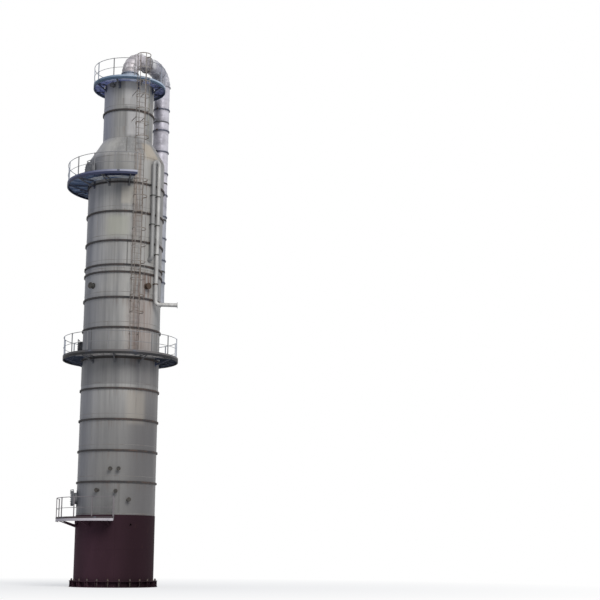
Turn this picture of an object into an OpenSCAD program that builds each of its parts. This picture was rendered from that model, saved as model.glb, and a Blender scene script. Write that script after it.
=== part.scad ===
// Distillation column: a welded tray column in two diameters on a skirt, with its
// overhead vapour line, side draw line, platforms, railings and caged ladders.
// Millimetres, +Z up. The origin is the centre of the base ring's underside.
// Azimuths are measured from +X, counter-clockwise seen from above; the front is -Y.

/* [Shell] */
// Outer diameter of the wide lower shell
shell_d = 4200; // [3600:50:4800]
// Plate thickness of the wide shell and the cone
shell_t = 16; // [10:1:30]
// Outer diameter of the narrow upper shell
upper_d = 2800; // [2200:50:3200]
// Plate thickness of the narrow shell and the top head
upper_t = 12; // [8:1:24]
// Height of the lower tangent line above the foundation
tangent_z = 3750; // [3400:50:4400]
// Height of the circumferential field joint between lower and middle shell
field_joint_z = 16950; // [16700:50:17300]
// Height of the upper end of the middle shell, where the cone starts
cone_z = 23350; // [23200:50:24000]
// Length of the narrow upper shell
upper_h = 3350; // [3000:50:4200]

/* [Cone] */
// Lean of the cone's wall from the vertical, in degrees
cone_lean = 31; // [25:1:40]
// Knuckle radius at the foot of the cone
knuckle_r = 400; // [250:10:600]

/* [Skirt] */
// Plate thickness of the skirt
skirt_t = 18; // [12:1:30]
// Height over which the skirt laps the bottom head's straight flange
skirt_lap = 60; // [40:5:80]
// Straight flange of the bottom head
head_flange = 80; // [80:5:120]
// Diameter of the access opening in the skirt
access_d = 600; // [500:10:700]
// Height of the access opening's centre
access_z = 1050; // [900:10:1300]
// Bore of the skirt's vents
vent_d = 90; // [60:5:120]

/* [Base ring] */
// Thickness of the base plate
base_t = 40; // [25:1:60]
// Width of the base plate inside the skirt
base_in = 100; // [60:5:140]
// Width of the base plate outside the skirt
base_out = 215; // [200:5:260]
// Number of anchor bolts
anchor_n = 24; // [16:4:32]
// Diameter of the anchor holes
anchor_d = 56; // [40:1:64]
// Height of the anchor chairs' gussets
chair_h = 260; // [180:10:360]
// Thickness of the chairs' top ring
chair_t = 30; // [20:1:40]
// Thickness of the gussets
gusset_t = 16; // [10:1:24]

/* [Stiffening rings] */
// Pitch of the stiffening rings
ring_pitch = 1650; // [1600:10:1660]
// Height of the first ring above the tangent line
ring_first = 1700; // [1650:10:1750]
// Radial width of a ring
ring_w = 65; // [50:1:90]
// Height of a ring
ring_h = 90; // [60:1:120]
// Thickness of a ring's two legs
ring_t = 12; // [8:1:16]
// Distance between the pair of rings at the field joint
pair_gap = 400; // [300:10:480]
// Height of the first ring of the middle shell above the field joint
middle_first = 1550; // [1450:10:1600]
// Height of the narrow shell's ring above the cone
upper_ring_up = 1600; // [1400:10:1800]

/* [Vapour line] */
// Outer diameter of the vapour line
vapour_d = 900; // [800:10:950]
// Wall of the vapour line
vapour_t = 8; // [6:1:14]
// Azimuth of the vapour line
vapour_az = 45; // [40:1:50]
// Clear gap between the wide shell and the vapour line
vapour_gap = 150; // [130:5:250]
// Straight length at each end of the level run, between a bend and the joint
vapour_straight = 400; // [200:5:450]
// Rise of the nozzle's flange face above the top head's crown
vapour_rise = 174; // [150:2:260]
// Height of the line's open lower flange
vapour_end_z = 15800; // [15600:50:16200]
// Height of the first band above that flange
band_first = 1200; // [1000:50:1300]
// Pitch of the bands along the line
band_pitch = 1300; // [1250:10:1320]
// Radial width of a band
band_w = 45; // [30:1:60]
// Height of a band
band_h = 60; // [40:1:80]

/* [Vapour flanges] */
// Diameter of the joint flanges
joint_flange_d = 1010; // [1000:5:1060]
// Thickness of the joint flanges
joint_flange_t = 22; // [16:1:30]
// Diameter of the lower end flange
end_flange_d = 1060; // [1050:5:1100]
// Thickness of the lower end flange
end_flange_t = 28; // [20:1:36]
// Bolt circle of the lower end flange
end_pcd = 990; // [985:5:1000]
// Bolt holes in the lower end flange
end_bolt_n = 24; // [16:4:32]
// Diameter of those bolt holes
end_bolt_d = 24; // [18:1:28]

/* [Side draw line] */
// Outer diameter of the side draw line
draw_d = 219; // [168:1:245]
// Wall of the side draw line
draw_t = 8; // [6:1:12]
// Azimuth of the middle between its two legs
draw_az = -44.5; // [-47:0.5:-43]
// Distance of the legs' plane from the wide shell
draw_off = 196; // [190:2:240]
// Bend radius of the U and of the elbows; the legs stand twice as far apart
draw_bend_r = 205; // [190:5:240]
// Depth of the U's centre below the cone
draw_u_drop = 395; // [360:5:500]
// Height of the entry into the shell above the field joint
draw_entry_up = 600; // [560:10:800]
// Depth of the level run below the field joint
draw_low_drop = 1850; // [1800:10:2000]
// Length of the level run, from the elbow to the flange's face
draw_run = 1000; // [800:10:1100]
// Diameter of the draw line's flange
draw_flange_d = 340; // [335:5:380]
// Thickness of the draw line's flange
draw_flange_t = 26; // [20:1:34]
// Bolt circle of the draw line's flange
draw_pcd = 295; // [290:1:305]
// Bolt holes in the draw line's flange
draw_bolt_n = 12; // [8:4:16]
// Diameter of those bolt holes
draw_bolt_d = 22; // [18:1:26]

/* [Platforms] */
// Depth of the base platform's deck below the lower tangent line
base_deck_drop = 230; // [190:10:300]
// Height of the low platform's deck above the lower tangent line
low_deck_up = 8480; // [8450:10:8550]
// Depth of the middle platform's deck below the cone
middle_deck_drop = 1290; // [1250:10:1350]
// Depth of the top platform's deck below the upper tangent line
top_deck_drop = 16; // [0:2:60]
// Walkway width of the base and low platforms
walk_low = 1050; // [950:10:1150]
// Walkway width of the middle platform
walk_middle = 1200; // [1000:10:1250]
// Walkway width of the top platform
walk_top = 650; // [600:10:700]
// Clear gap between shell and deck plate
deck_gap = 20; // [10:1:30]
// Thickness of the deck plate
deck_t = 8; // [5:1:12]
// Depth of the edge channel
edge_h = 120; // [100:5:160]
// Flange width of the edge channel
edge_w = 60; // [40:1:80]
// Thickness of the edge channel
edge_t = 8; // [6:1:12]
// Height of the toe plate
toe_h = 100; // [80:5:150]
// Width of a bracket's bars
bracket_w = 50; // [40:1:80]
// Depth of a bracket's bars
bracket_bar = 60; // [50:1:80]
// Height of a bracket at the shell
bracket_h = 400; // [350:10:500]
// Width of a bracket's pad on the shell
pad_w = 140; // [100:5:200]
// Thickness of pads on the shell
pad_t = 12; // [8:1:16]

/* [Railings] */
// Height of the top rail's centre above the deck
rail_h = 1100; // [1000:10:1200]
// Diameter of the top rail
rail_d = 38; // [32:1:48]
// Diameter of the middle rail
knee_rail_d = 28; // [22:1:36]
// Width of a railing post
post_w = 44; // [40:1:54]
// Largest spacing of the posts
post_pitch = 1250; // [1000:50:1500]

/* [Ladder] */
// Azimuth of the ladder
ladder_az = -73; // [-74:1:-70]
// Distance of the ladder's centreline from the wide shell
ladder_off = 200; // [180:5:230]
// Distance between the stiles' centres
ladder_w = 500; // [440:10:520]
// Depth of a stile
stile_w = 65; // [50:1:75]
// Thickness of a stile
stile_t = 12; // [8:1:16]
// Spacing of the rungs
rung_pitch = 300; // [250:10:320]
// Diameter of a rung
rung_d = 24; // [20:1:30]
// Height to which the ladder passes the top deck
ladder_over = 1150; // [1000:50:1200]

/* [Cage] */
// Radius of a cage hoop
hoop_r = 380; // [350:5:400]
// Height of a hoop's flat bar
hoop_h = 50; // [40:1:60]
// Thickness of the hoops and straps
hoop_t = 7; // [5:1:10]
// Largest spacing of the hoops
hoop_pitch = 950; // [800:10:1100]
// Height above a deck at which a cage starts
cage_up = 2200; // [2100:10:2400]

/* [Nozzles] */
// Outer diameter of the small nozzles' necks
small_nozzle_d = 114; // [89:1:140]
// Outer diameter of the large nozzles' necks
large_nozzle_d = 219; // [168:1:245]
// Outer diameter of the neck of the nozzle under the top platform
top_nozzle_d = 168; // [140:1:180]
// Constant part of a flange's diameter, beyond its share of the neck's
flange_over = 85; // [70:5:110]
// Least thickness of a flange
flange_least_t = 16; // [12:1:24]
// Projection of a nozzle's flange face from the shell
nozzle_out = 200; // [160:5:240]
// Wall of a nozzle's neck
nozzle_t = 8; // [6:1:12]
// Outer diameter of a manway's neck
manway_d = 610; // [500:10:640]
// Projection of a manway's flange face from the shell
manway_out = 240; // [200:5:280]
// Wall of a manway's neck
manway_t = 12; // [8:1:16]
// Outer diameter of the bottom outlet
outlet_d = 273; // [219:1:325]

/* [Hidden] */
$fn = 240;

shell_r = shell_d / 2;
upper_r = upper_d / 2;
skirt_r = shell_r + skirt_t;
skirt_top = tangent_z - head_flange + skirt_lap;
base_r = skirt_r + base_out;
anchor_r = skirt_r + base_out * 0.52;

// The cone runs from the knuckle's end up to the narrow shell.
cone_run = (shell_r - knuckle_r + knuckle_r * cos(cone_lean) - upper_r) / sin(cone_lean);
cone_top_z = cone_z + knuckle_r * sin(cone_lean) + cone_run * cos(cone_lean);
top_tangent_z = cone_top_z + upper_h;
top_head_h = upper_r / 2;

// Ring levels, from the first ring up.
lower_ring_n = 7;
middle_ring_n = 3;
lower_ring_z = [for (i = [0:lower_ring_n - 1]) tangent_z + ring_first + i * ring_pitch];
middle_ring_z = [for (i = [0:middle_ring_n - 1]) field_joint_z + middle_first + i * ring_pitch];
pair_z = [field_joint_z - pair_gap / 2, field_joint_z + pair_gap / 2];
upper_ring_z = cone_top_z + upper_ring_up;

vapour_r = vapour_d / 2;
vapour_run = shell_r + vapour_gap + vapour_r;
vapour_bend_r = vapour_run / 2 - vapour_straight;
vapour_face_z = top_tangent_z + top_head_h + vapour_rise;
vapour_neck = 45;
vapour_arc_z = vapour_face_z + vapour_neck;
band_first_z = vapour_end_z + band_first;
band_clear = 400;
band_n = floor((vapour_face_z - band_first_z - band_clear) / band_pitch) + 1;
band_zs = [for (i = [0:band_n - 1]) band_first_z + i * band_pitch];

draw_x = shell_r + draw_off;
draw_u_z = cone_z - draw_u_drop;
draw_entry_z = field_joint_z + draw_entry_up;
draw_low_z = field_joint_z - draw_low_drop;

base_deck_z = tangent_z - base_deck_drop;
low_deck_z = tangent_z + low_deck_up;
middle_deck_z = cone_z - middle_deck_drop;
top_deck_z = top_tangent_z - top_deck_drop;

ladder_r = shell_r + ladder_off;
ladder_top_z = top_deck_z + ladder_over;
hoop_centre = ladder_r + sqrt(hoop_r * hoop_r - ladder_w * ladder_w / 4);
hoop_half = 180 - asin(ladder_w / 2 / hoop_r);

// Spans of the platforms, as start and end azimuths.
full_az = [0, 360];
base_az = [165, 268];
middle_az = [89, 280];
low_rail_az = [14, 346];
gate_az = 9;
top_rail_az = [ladder_az + gate_az, ladder_az + 360 - gate_az];

// Nozzles: azimuth, height, outer diameter of the neck, radius of the shell that carries it.
nozzle_list = [
    [-99, tangent_z + 2370, small_nozzle_d, shell_r],
    [-88, tangent_z + 2370, small_nozzle_d, shell_r],
    [-117, tangent_z + 1250, small_nozzle_d, shell_r],
    [-91, tangent_z + 1200, small_nozzle_d, shell_r],
    [-73, tangent_z + 770, small_nozzle_d, shell_r],
    [-140, field_joint_z - 900, large_nozzle_d, shell_r],
    [-53, field_joint_z - 900, large_nozzle_d, shell_r],
    [-129, top_tangent_z - 276, top_nozzle_d, upper_r],
    [120, tangent_z + 4250, large_nozzle_d, shell_r],
    [60, tangent_z + 7450, large_nozzle_d, shell_r],
    [150, field_joint_z + 2350, large_nozzle_d, shell_r]];
// Manways: azimuth and height, each reached from a platform.
manway_list = [[187, base_deck_z + 1100], [160, low_deck_z + 670], [205, middle_deck_z + 700]];

// Reach of the cutters on either side of a wall.
cut_reach = 300;

// Points of a quarter ellipse from its rim to its crown.
function quarter_ellipse(a, b, n) = [for (i = [0:n]) [a * cos(90 * i / n), b * sin(90 * i / n)]];

// Points of the cone's wall in section, offset inwards by the plate thickness.
function cone_side(inset, n) = [for (i = [0:n])
    [shell_r - knuckle_r + (knuckle_r - inset) * cos(cone_lean * i / n),
     cone_z + (knuckle_r - inset) * sin(cone_lean * i / n)]];

function reversed(list) = [for (i = [len(list) - 1:-1:0]) list[i]];

module tube(r, t, z0, z1) {
    translate([0, 0, z0]) difference() {
        cylinder(r = r, h = z1 - z0);
        translate([0, 0, -1]) cylinder(r = r - t, h = z1 - z0 + 2);
    }
}

module cylinder_between(r, z0, z1) {
    translate([0, 0, z0]) cylinder(r = r, h = z1 - z0);
}

module annulus(r_in, r_out, z0, z1) {
    tube(r_out, r_out - r_in, z0, z1);
}

// A profile drawn in radius and height, swept between two azimuths.
module sweep(span) {
    turn = span[1] - span[0];
    rotate([0, 0, span[0]]) {
        if (turn >= 360) rotate_extrude() children();
        else rotate_extrude(angle = turn) children();
    }
}

// Local z points outwards from the shell at an azimuth and a height.
module radial(az, z) {
    rotate([0, 0, az]) translate([0, 0, z]) rotate([0, 90, 0]) children();
}

// An angle-iron ring whose web lies flat on the shell.
module angle_ring(r, z) {
    translate([0, 0, z]) rotate_extrude() translate([r, 0])
        polygon([[0, -ring_h / 2], [ring_w, -ring_h / 2], [ring_w, ring_h / 2],
                 [ring_w - ring_t, ring_h / 2], [ring_w - ring_t, ring_t - ring_h / 2],
                 [0, ring_t - ring_h / 2]]);
}

module bolt_circle(pcd, n, d, z0, z1) {
    for (i = [0:n - 1]) rotate([0, 0, 360 * (i + 0.5) / n])
        translate([pcd / 2, 0, z0]) cylinder(d = d, h = z1 - z0, $fn = 32);
}

// Base ring, chairs and skirt

module base_ring() {
    color("dimgray") difference() {
        annulus(shell_r - base_in, base_r, 0, base_t);
        bolt_circle(2 * anchor_r, anchor_n, anchor_d, -1, base_t + 1);
    }
}

module anchor_chairs() {
    step = 360 / anchor_n;
    gusset_side = atan((anchor_d / 2 + 30 + gusset_t / 2) / anchor_r);
    ring_z = base_t + chair_h;
    color("darkred") difference() {
        union() {
            cylinder_between(base_r, ring_z, ring_z + chair_t);
            for (i = [0:anchor_n - 1], side = [-1, 1])
                rotate([0, 0, step * (i + 0.5) + side * gusset_side])
                    translate([skirt_r - 10, -gusset_t / 2, base_t])
                        cube([base_r - skirt_r - 5, gusset_t, chair_h + chair_t / 2]);
        }
        translate([0, 0, -1]) cylinder(r = skirt_r, h = ring_z + chair_t + 2);
        bolt_circle(2 * anchor_r, anchor_n, anchor_d, ring_z - 1, ring_z + chair_t + 1);
    }
}

vent_azimuths = [0, 90, 180, 270];
access_az = 90;

module skirt() {
    collar_t = 16;
    collar_out = 70;
    vent_z = tangent_z - 520;
    color("maroon") difference() {
        union() {
            tube(skirt_r, skirt_t, base_t, skirt_top);
            radial(access_az, access_z)
                translate([0, 0, shell_r - collar_out])
                    cylinder(d = access_d + 2 * collar_t, h = skirt_t + 2 * collar_out);
            for (a = vent_azimuths) radial(a + 22, vent_z)
                translate([0, 0, shell_r - 20]) cylinder(d = vent_d + 14, h = skirt_t + 70);
        }
        radial(access_az, access_z)
            translate([0, 0, shell_r - cut_reach]) cylinder(d = access_d, h = 2 * cut_reach);
        for (a = vent_azimuths) radial(a + 22, vent_z)
            translate([0, 0, shell_r - cut_reach]) cylinder(d = vent_d, h = 2 * cut_reach);
    }
}

// Heads, shells and cone

module bottom_head() {
    depth = shell_r / 2;
    outer = quarter_ellipse(shell_r, depth, 16);
    inner = quarter_ellipse(shell_r - shell_t, depth - shell_t, 16);
    color("lightslategray") difference() {
        rotate_extrude() translate([0, tangent_z]) polygon(concat(
            [[shell_r, 0]],
            [for (p = outer) [p[0], -p[1] - head_flange]],
            [for (p = reversed(inner)) [p[0], -p[1] - head_flange]],
            [[shell_r - shell_t, 0]]));
        translate([0, 0, tangent_z - depth - head_flange - 50])
            cylinder(d = outlet_d, h = depth);
    }
}

outlet_face_z = tangent_z - 1420;

module bottom_outlet() {
    top_z = tangent_z - head_flange - shell_r / 2 + shell_t;
    color("lightslategray") {
        tube(outlet_d / 2, nozzle_t, outlet_face_z, top_z);
        annulus(outlet_d / 2 - 1, outlet_d / 2 + 66, outlet_face_z, outlet_face_z + 28);
    }
}

// Holes that the nozzles, manways and the draw line need in the walls they pass.
module wall_holes() {
    for (n = nozzle_list) radial(n[0], n[1])
        translate([0, 0, n[3] - cut_reach]) cylinder(d = n[2], h = 2 * cut_reach);
    for (m = manway_list) radial(m[0], m[1])
        translate([0, 0, shell_r - cut_reach]) cylinder(d = manway_d, h = 2 * cut_reach);
    rotate([0, 0, draw_az]) translate([shell_r - cut_reach, -draw_bend_r, draw_entry_z])
        rotate([0, 90, 0]) cylinder(d = draw_d, h = 2 * cut_reach);
}

module shell_lower() {
    color("darkgray") difference() {
        tube(shell_r, shell_t, tangent_z, field_joint_z);
        wall_holes();
    }
}

module shell_middle() {
    color("darkgray") difference() {
        tube(shell_r, shell_t, field_joint_z, cone_z);
        wall_holes();
    }
}

module shell_cone() {
    color("darkgray") rotate_extrude() polygon(concat(
        cone_side(0, 8), [[upper_r, cone_top_z], [upper_r - upper_t, cone_top_z]],
        reversed(cone_side(shell_t, 8))));
}

module shell_upper() {
    color("darkgray") difference() {
        tube(upper_r, upper_t, cone_top_z, top_tangent_z);
        wall_holes();
    }
}

module top_head() {
    outer = quarter_ellipse(upper_r, top_head_h, 16);
    inner = quarter_ellipse(upper_r - upper_t, top_head_h - upper_t, 16);
    color("darkgray") difference() {
        rotate_extrude() translate([0, top_tangent_z])
            polygon(concat(outer, reversed(inner)));
        translate([0, 0, top_tangent_z]) cylinder(r = vapour_r, h = top_head_h + 100);
    }
}

module rings_lower() {
    color("dimgray") for (z = lower_ring_z) angle_ring(shell_r, z);
}

module rings_field_joint() {
    color("dimgray") for (z = pair_z) angle_ring(shell_r, z);
}

module rings_middle() {
    color("dimgray") for (z = middle_ring_z) angle_ring(shell_r, z);
}

module ring_upper() {
    color("dimgray") angle_ring(upper_r, upper_ring_z);
}

// Nozzles and manways

function flange_d(d) = d * 1.18 + flange_over;
function flange_t(d) = flange_least_t + d / 22;

module neck(d, t, carrier_r, out) {
    pad_d = d * 1.5;
    difference() {
        union() {
            translate([0, 0, carrier_r - 40]) cylinder(d = d, h = out + 40);
            translate([0, 0, carrier_r + out - flange_t(d)]) cylinder(d = flange_d(d), h = flange_t(d));
            intersection() {
                translate([0, 0, carrier_r / 2]) cylinder(d = pad_d, h = carrier_r);
                rotate([0, -90, 0]) tube(carrier_r + pad_t, pad_t, -pad_d, pad_d);
            }
        }
        translate([0, 0, carrier_r - 60]) cylinder(d = d - 2 * t, h = out + 120);
    }
}

module nozzles() {
    color("gray") for (n = nozzle_list) radial(n[0], n[1]) neck(n[2], nozzle_t, n[3], nozzle_out);
}

module nozzle_covers() {
    color("gray") for (n = nozzle_list) radial(n[0], n[1])
        translate([0, 0, n[3] + nozzle_out]) cylinder(d = flange_d(n[2]), h = flange_t(n[2]));
}

module manways() {
    color("gray") for (m = manway_list) radial(m[0], m[1]) neck(manway_d, manway_t, shell_r, manway_out);
}

module manway_covers() {
    color("gray") for (m = manway_list) radial(m[0], m[1]) {
        translate([0, 0, shell_r + manway_out]) cylinder(d = flange_d(manway_d), h = flange_t(manway_d));
    }
}

// Overhead vapour line

// A quarter bend in the XY plane about the origin, from (bend_r, 0) to (0, bend_r).
module bend(r, t, bend_r) {
    rotate_extrude(angle = 90) translate([bend_r, 0]) difference() {
        circle(r = r);
        circle(r = r - t);
    }
}

// A straight pipe end with a flange, from the origin along +Z, the flange face at the far end.
module flanged_end(r, t, length, d, flange_t) {
    tube(r, t, 0, length);
    annulus(r - t / 2, d / 2, length - flange_t, length);
}

module vapour_nozzle() {
    root_z = top_tangent_z + top_head_h * sqrt(1 - pow(vapour_r / upper_r, 2)) - 60;
    color("silver") {
        tube(vapour_r, vapour_t, root_z, vapour_face_z);
        annulus(vapour_r - vapour_t / 2, joint_flange_d / 2, vapour_face_z - joint_flange_t, vapour_face_z);
    }
}

module vapour_bend_first() {
    color("silver") rotate([0, 0, vapour_az]) {
        translate([vapour_bend_r, 0, vapour_arc_z]) rotate([90, 0, 180])
            bend(vapour_r, vapour_t, vapour_bend_r);
        translate([0, 0, vapour_arc_z]) rotate([180, 0, 0])
            flanged_end(vapour_r, vapour_t, vapour_neck, joint_flange_d, joint_flange_t);
        translate([vapour_bend_r, 0, vapour_arc_z + vapour_bend_r]) rotate([0, 90, 0])
            flanged_end(vapour_r, vapour_t, vapour_straight, joint_flange_d, joint_flange_t);
    }
}

module vapour_bend_second() {
    color("silver") rotate([0, 0, vapour_az]) translate([vapour_run - vapour_bend_r, 0, vapour_arc_z]) {
        rotate([90, 0, 0]) bend(vapour_r, vapour_t, vapour_bend_r);
        translate([0, 0, vapour_bend_r]) rotate([0, -90, 0])
            flanged_end(vapour_r, vapour_t, vapour_straight, joint_flange_d, joint_flange_t);
        translate([vapour_bend_r, 0, 0]) rotate([180, 0, 0])
            flanged_end(vapour_r, vapour_t, vapour_neck, joint_flange_d, joint_flange_t);
    }
}

module on_vapour_leg() {
    rotate([0, 0, vapour_az]) translate([vapour_run, 0, 0]) children();
}

module vapour_leg() {
    color("silver") on_vapour_leg() difference() {
        union() {
            tube(vapour_r, vapour_t, vapour_end_z, vapour_face_z);
            annulus(vapour_r - vapour_t / 2, joint_flange_d / 2, vapour_face_z - joint_flange_t, vapour_face_z);
            annulus(vapour_r - vapour_t / 2, end_flange_d / 2, vapour_end_z, vapour_end_z + end_flange_t);
        }
        bolt_circle(end_pcd, end_bolt_n, end_bolt_d, vapour_end_z - 1, vapour_end_z + end_flange_t + 1);
    }
}

module vapour_bands() {
    color("dimgray") on_vapour_leg() for (z = band_zs)
        annulus(vapour_r, vapour_r + band_w, z - band_h / 2, z + band_h / 2);
}

// A guide: a clamp round the line and two arms back to the shell.
guide_h = 90;
guide_t = 12;
guide_arm = 14;
guide_levels = [
    [field_joint_z + 650, shell_r],
    [middle_ring_z[1] + 500, shell_r],
    [cone_z - 500, shell_r],
    [upper_ring_z + 350, upper_r]];

module vapour_guides() {
    color("dimgray") rotate([0, 0, vapour_az]) for (g = guide_levels) translate([0, 0, g[0]]) {
        difference() {
            union() {
                translate([vapour_run, 0, 0]) cylinder(r = vapour_r + guide_t, h = guide_h);
                for (side = [-1, 1])
                    translate([g[1] / 2, side * vapour_r * 0.62 - guide_arm / 2, 0])
                        cube([vapour_run - g[1] / 2 - vapour_r * 0.6, guide_arm, guide_h]);
            }
            translate([vapour_run, 0, -1]) cylinder(r = vapour_r, h = guide_h + 2);
            translate([0, 0, -1]) cylinder(r = g[1], h = guide_h + 2);
        }
    }
}

// Side draw line

// A quarter elbow in the XZ plane from the origin: it leaves along +X and ends along -Z.
module elbow_down(r, t, bend_r) {
    translate([0, 0, -bend_r]) rotate([90, 0, 0]) rotate_extrude(angle = 90) translate([bend_r, 0])
        difference() {
            circle(r = r);
            circle(r = r - t);
        }
}

// The line leaves the shell, climbs its first leg, turns in a U and drops its second leg.
// A welded sleeve joins that leg to the piece with the lowest elbow.
module draw_pipe() {
    pipe_r = draw_d / 2;
    entry_top = draw_entry_z + draw_bend_r;
    low_top = draw_low_z + draw_bend_r;
    sleeve_z = low_top + 120;
    color("lightgray") rotate([0, 0, draw_az]) {
        translate([0, -draw_bend_r, draw_entry_z]) rotate([0, 90, 0])
            tube(pipe_r, draw_t, shell_r - 60, draw_x - draw_bend_r);
        translate([draw_x - draw_bend_r, -draw_bend_r, draw_entry_z])
            mirror([0, 0, 1]) elbow_down(pipe_r, draw_t, draw_bend_r);
        translate([draw_x, -draw_bend_r, 0]) tube(pipe_r, draw_t, entry_top, draw_u_z);
        translate([draw_x, 0, draw_u_z]) rotate([90, 0, 90]) rotate_extrude(angle = 180)
            translate([draw_bend_r, 0]) difference() {
                circle(r = pipe_r);
                circle(r = pipe_r - draw_t);
            }
        translate([draw_x, draw_bend_r, 0]) tube(pipe_r, draw_t, sleeve_z + 1, draw_u_z);
        translate([draw_x, draw_bend_r, 0]) annulus(pipe_r - draw_t / 2, pipe_r + 8, sleeve_z - 40, sleeve_z + 40);
        translate([draw_x, draw_bend_r, low_top]) rotate([0, 0, -draw_az]) {
            tube(pipe_r, draw_t, 0, sleeve_z - low_top - 1);
            rotate([0, 0, 180]) mirror([0, 0, 1])
                translate([-draw_bend_r, 0, draw_bend_r]) elbow_down(pipe_r, draw_t, draw_bend_r);
            translate([draw_bend_r, 0, -draw_bend_r]) rotate([0, 90, 0]) difference() {
                flanged_end(pipe_r, draw_t, draw_run, draw_flange_d, draw_flange_t);
                bolt_circle(draw_pcd, draw_bolt_n, draw_bolt_d, draw_run - draw_flange_t - 1, draw_run + 1);
            }
        }
    }
}

clamp_h = 60;
clamp_t = 10;
// Clamps: side of the leg and height.
clamp_list = [[1, field_joint_z - 750], [1, field_joint_z + 900], [1, middle_ring_z[0] + 1000],
    [-1, middle_ring_z[0] + 1000], [1, middle_ring_z[1] + 1000], [-1, middle_ring_z[1] + 1000]];

module draw_clamps() {
    color("dimgray") rotate([0, 0, draw_az]) for (c = clamp_list) translate([0, 0, c[1]]) difference() {
        union() {
            translate([draw_x, c[0] * draw_bend_r, 0]) cylinder(r = draw_d / 2 + clamp_t, h = clamp_h);
            for (side = [-1, 1])
                translate([shell_r / 2, c[0] * draw_bend_r + side * draw_d * 0.3 - clamp_t / 2, 0])
                    cube([draw_x - shell_r / 2 - draw_d * 0.3, clamp_t, clamp_h]);
        }
        translate([draw_x, c[0] * draw_bend_r, -1]) cylinder(r = draw_d / 2, h = clamp_h + 2);
        translate([0, 0, -1]) cylinder(r = shell_r, h = clamp_h + 2);
    }
}

// Platforms

// Deck plate, edge channel and toe plate of a platform, its deck surface at z.
module deck(carrier_r, walk, z, span) {
    r_out = carrier_r + walk;
    sweep(span) translate([0, z]) polygon([
        [carrier_r + deck_gap, -deck_t], [carrier_r + deck_gap, 0],
        [r_out - edge_t, 0], [r_out - edge_t, toe_h], [r_out, toe_h],
        [r_out, -deck_t - edge_h], [r_out - edge_w, -deck_t - edge_h],
        [r_out - edge_w, edge_t - deck_t - edge_h], [r_out - edge_t, edge_t - deck_t - edge_h],
        [r_out - edge_t, -deck_t]]);
}

// One bracket in the plane of an azimuth: bearer, inclined strut and pad on the shell.
module bracket(carrier_r, walk, z, az) {
    tip = carrier_r + walk - edge_w - 4;
    top = z - deck_t;
    rotate([0, 0, az]) difference() {
        union() {
            translate([0, bracket_w / 2, 0]) rotate([90, 0, 0]) linear_extrude(bracket_w) difference() {
                polygon([[carrier_r / 2, top], [tip, top], [tip, top - bracket_bar],
                         [carrier_r + bracket_bar, top - bracket_h], [carrier_r / 2, top - bracket_h]]);
                polygon([[carrier_r + bracket_bar, top - bracket_bar],
                         [tip - bracket_bar * 2.2, top - bracket_bar],
                         [carrier_r + bracket_bar, top - bracket_h + bracket_bar * 1.7]]);
            }
            intersection() {
                tube(carrier_r + pad_t, pad_t, top - bracket_h - 60, top);
                translate([0, -pad_w / 2, top - bracket_h - 60]) cube([carrier_r * 2, pad_w, bracket_h + 60]);
            }
        }
        translate([0, 0, top - bracket_h - 100]) cylinder(r = carrier_r, h = bracket_h + 200);
    }
}

module brackets(carrier_r, walk, z, azimuths) {
    for (a = azimuths) bracket(carrier_r, walk, z, a);
}

// Room for a stiffening ring that passes behind the brackets.
module ring_room(z) {
    annulus(shell_r - 1, shell_r + ring_w + 1, z - ring_h / 2 - 1, z + ring_h / 2 + 1);
}

// A post reaches just over the top rail, so that every rail ends inside a post.
post_over = 2;

module railing_post(r, z) {
    translate([r - post_w / 2, -post_w / 2, z]) cube([post_w, post_w, rail_h + rail_d / 2 + post_over]);
}

// Posts just inside the toe plate, a top rail and a middle rail. Each end named in
// ends (0 the start, 1 the finish) is closed by straight rails to a post at r_in.
module railing(r_in, r_out, z, span, ends) {
    r = r_out - edge_t - post_w / 2;
    half_post = asin(post_w / 2 / r);
    from = span[0] + half_post;
    to = span[1] - half_post;
    n = ceil((to - from) * PI * r / 180 / post_pitch);
    rails = [[rail_h, rail_d], [rail_h / 2, knee_rail_d]];
    for (i = [0:n]) rotate([0, 0, from + i * (to - from) / n]) railing_post(r, z);
    for (rail = rails) sweep([from, to]) translate([r, z + rail[0]]) circle(d = rail[1], $fn = 8);
    for (e = ends) rotate([0, 0, e == 0 ? from : to]) {
        railing_post(r_in, z);
        for (rail = rails) translate([r_in, 0, z + rail[0]]) rotate([0, 90, 0])
            cylinder(d = rail[1], h = r - r_in, $fn = 8);
    }
}

// Distance of an end's inner post from the shell.
end_post_off = 140;

module base_deck() {
    color("midnightblue") deck(skirt_r, walk_low, base_deck_z, base_az);
}

module base_deck_brackets() {
    color("gray") brackets(skirt_r, walk_low, base_deck_z, [172, 201, 231, 261]);
}

module base_deck_railing() {
    color("lightsteelblue") railing(skirt_r + end_post_off, skirt_r + walk_low, base_deck_z, base_az, [1]);
}

module low_deck() {
    color("midnightblue") deck(shell_r, walk_low, low_deck_z, full_az);
}

module low_deck_brackets() {
    color("gray") difference() {
        brackets(shell_r, walk_low, low_deck_z, [for (i = [0:9]) 10 + i * 36]);
        ring_room(lower_ring_z[4]);
    }
}

module low_deck_railing() {
    color("lightsteelblue") railing(shell_r, shell_r + walk_low, low_deck_z, low_rail_az, []);
}

module middle_deck() {
    color("midnightblue") deck(shell_r, walk_middle, middle_deck_z, middle_az);
}

module middle_deck_brackets() {
    color("gray") difference() {
        brackets(shell_r, walk_middle, middle_deck_z, [for (i = [0:6]) 94 + i * 30]);
        ring_room(middle_ring_z[2]);
    }
}

module middle_deck_railing() {
    color("lightsteelblue") railing(shell_r + end_post_off, shell_r + walk_middle, middle_deck_z, middle_az, [0]);
}

module top_deck() {
    color("midnightblue") deck(upper_r, walk_top, top_deck_z, full_az);
}

module top_deck_brackets() {
    color("gray") brackets(upper_r, walk_top, top_deck_z, [for (i = [0:7]) 22 + i * 45]);
}

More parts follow.
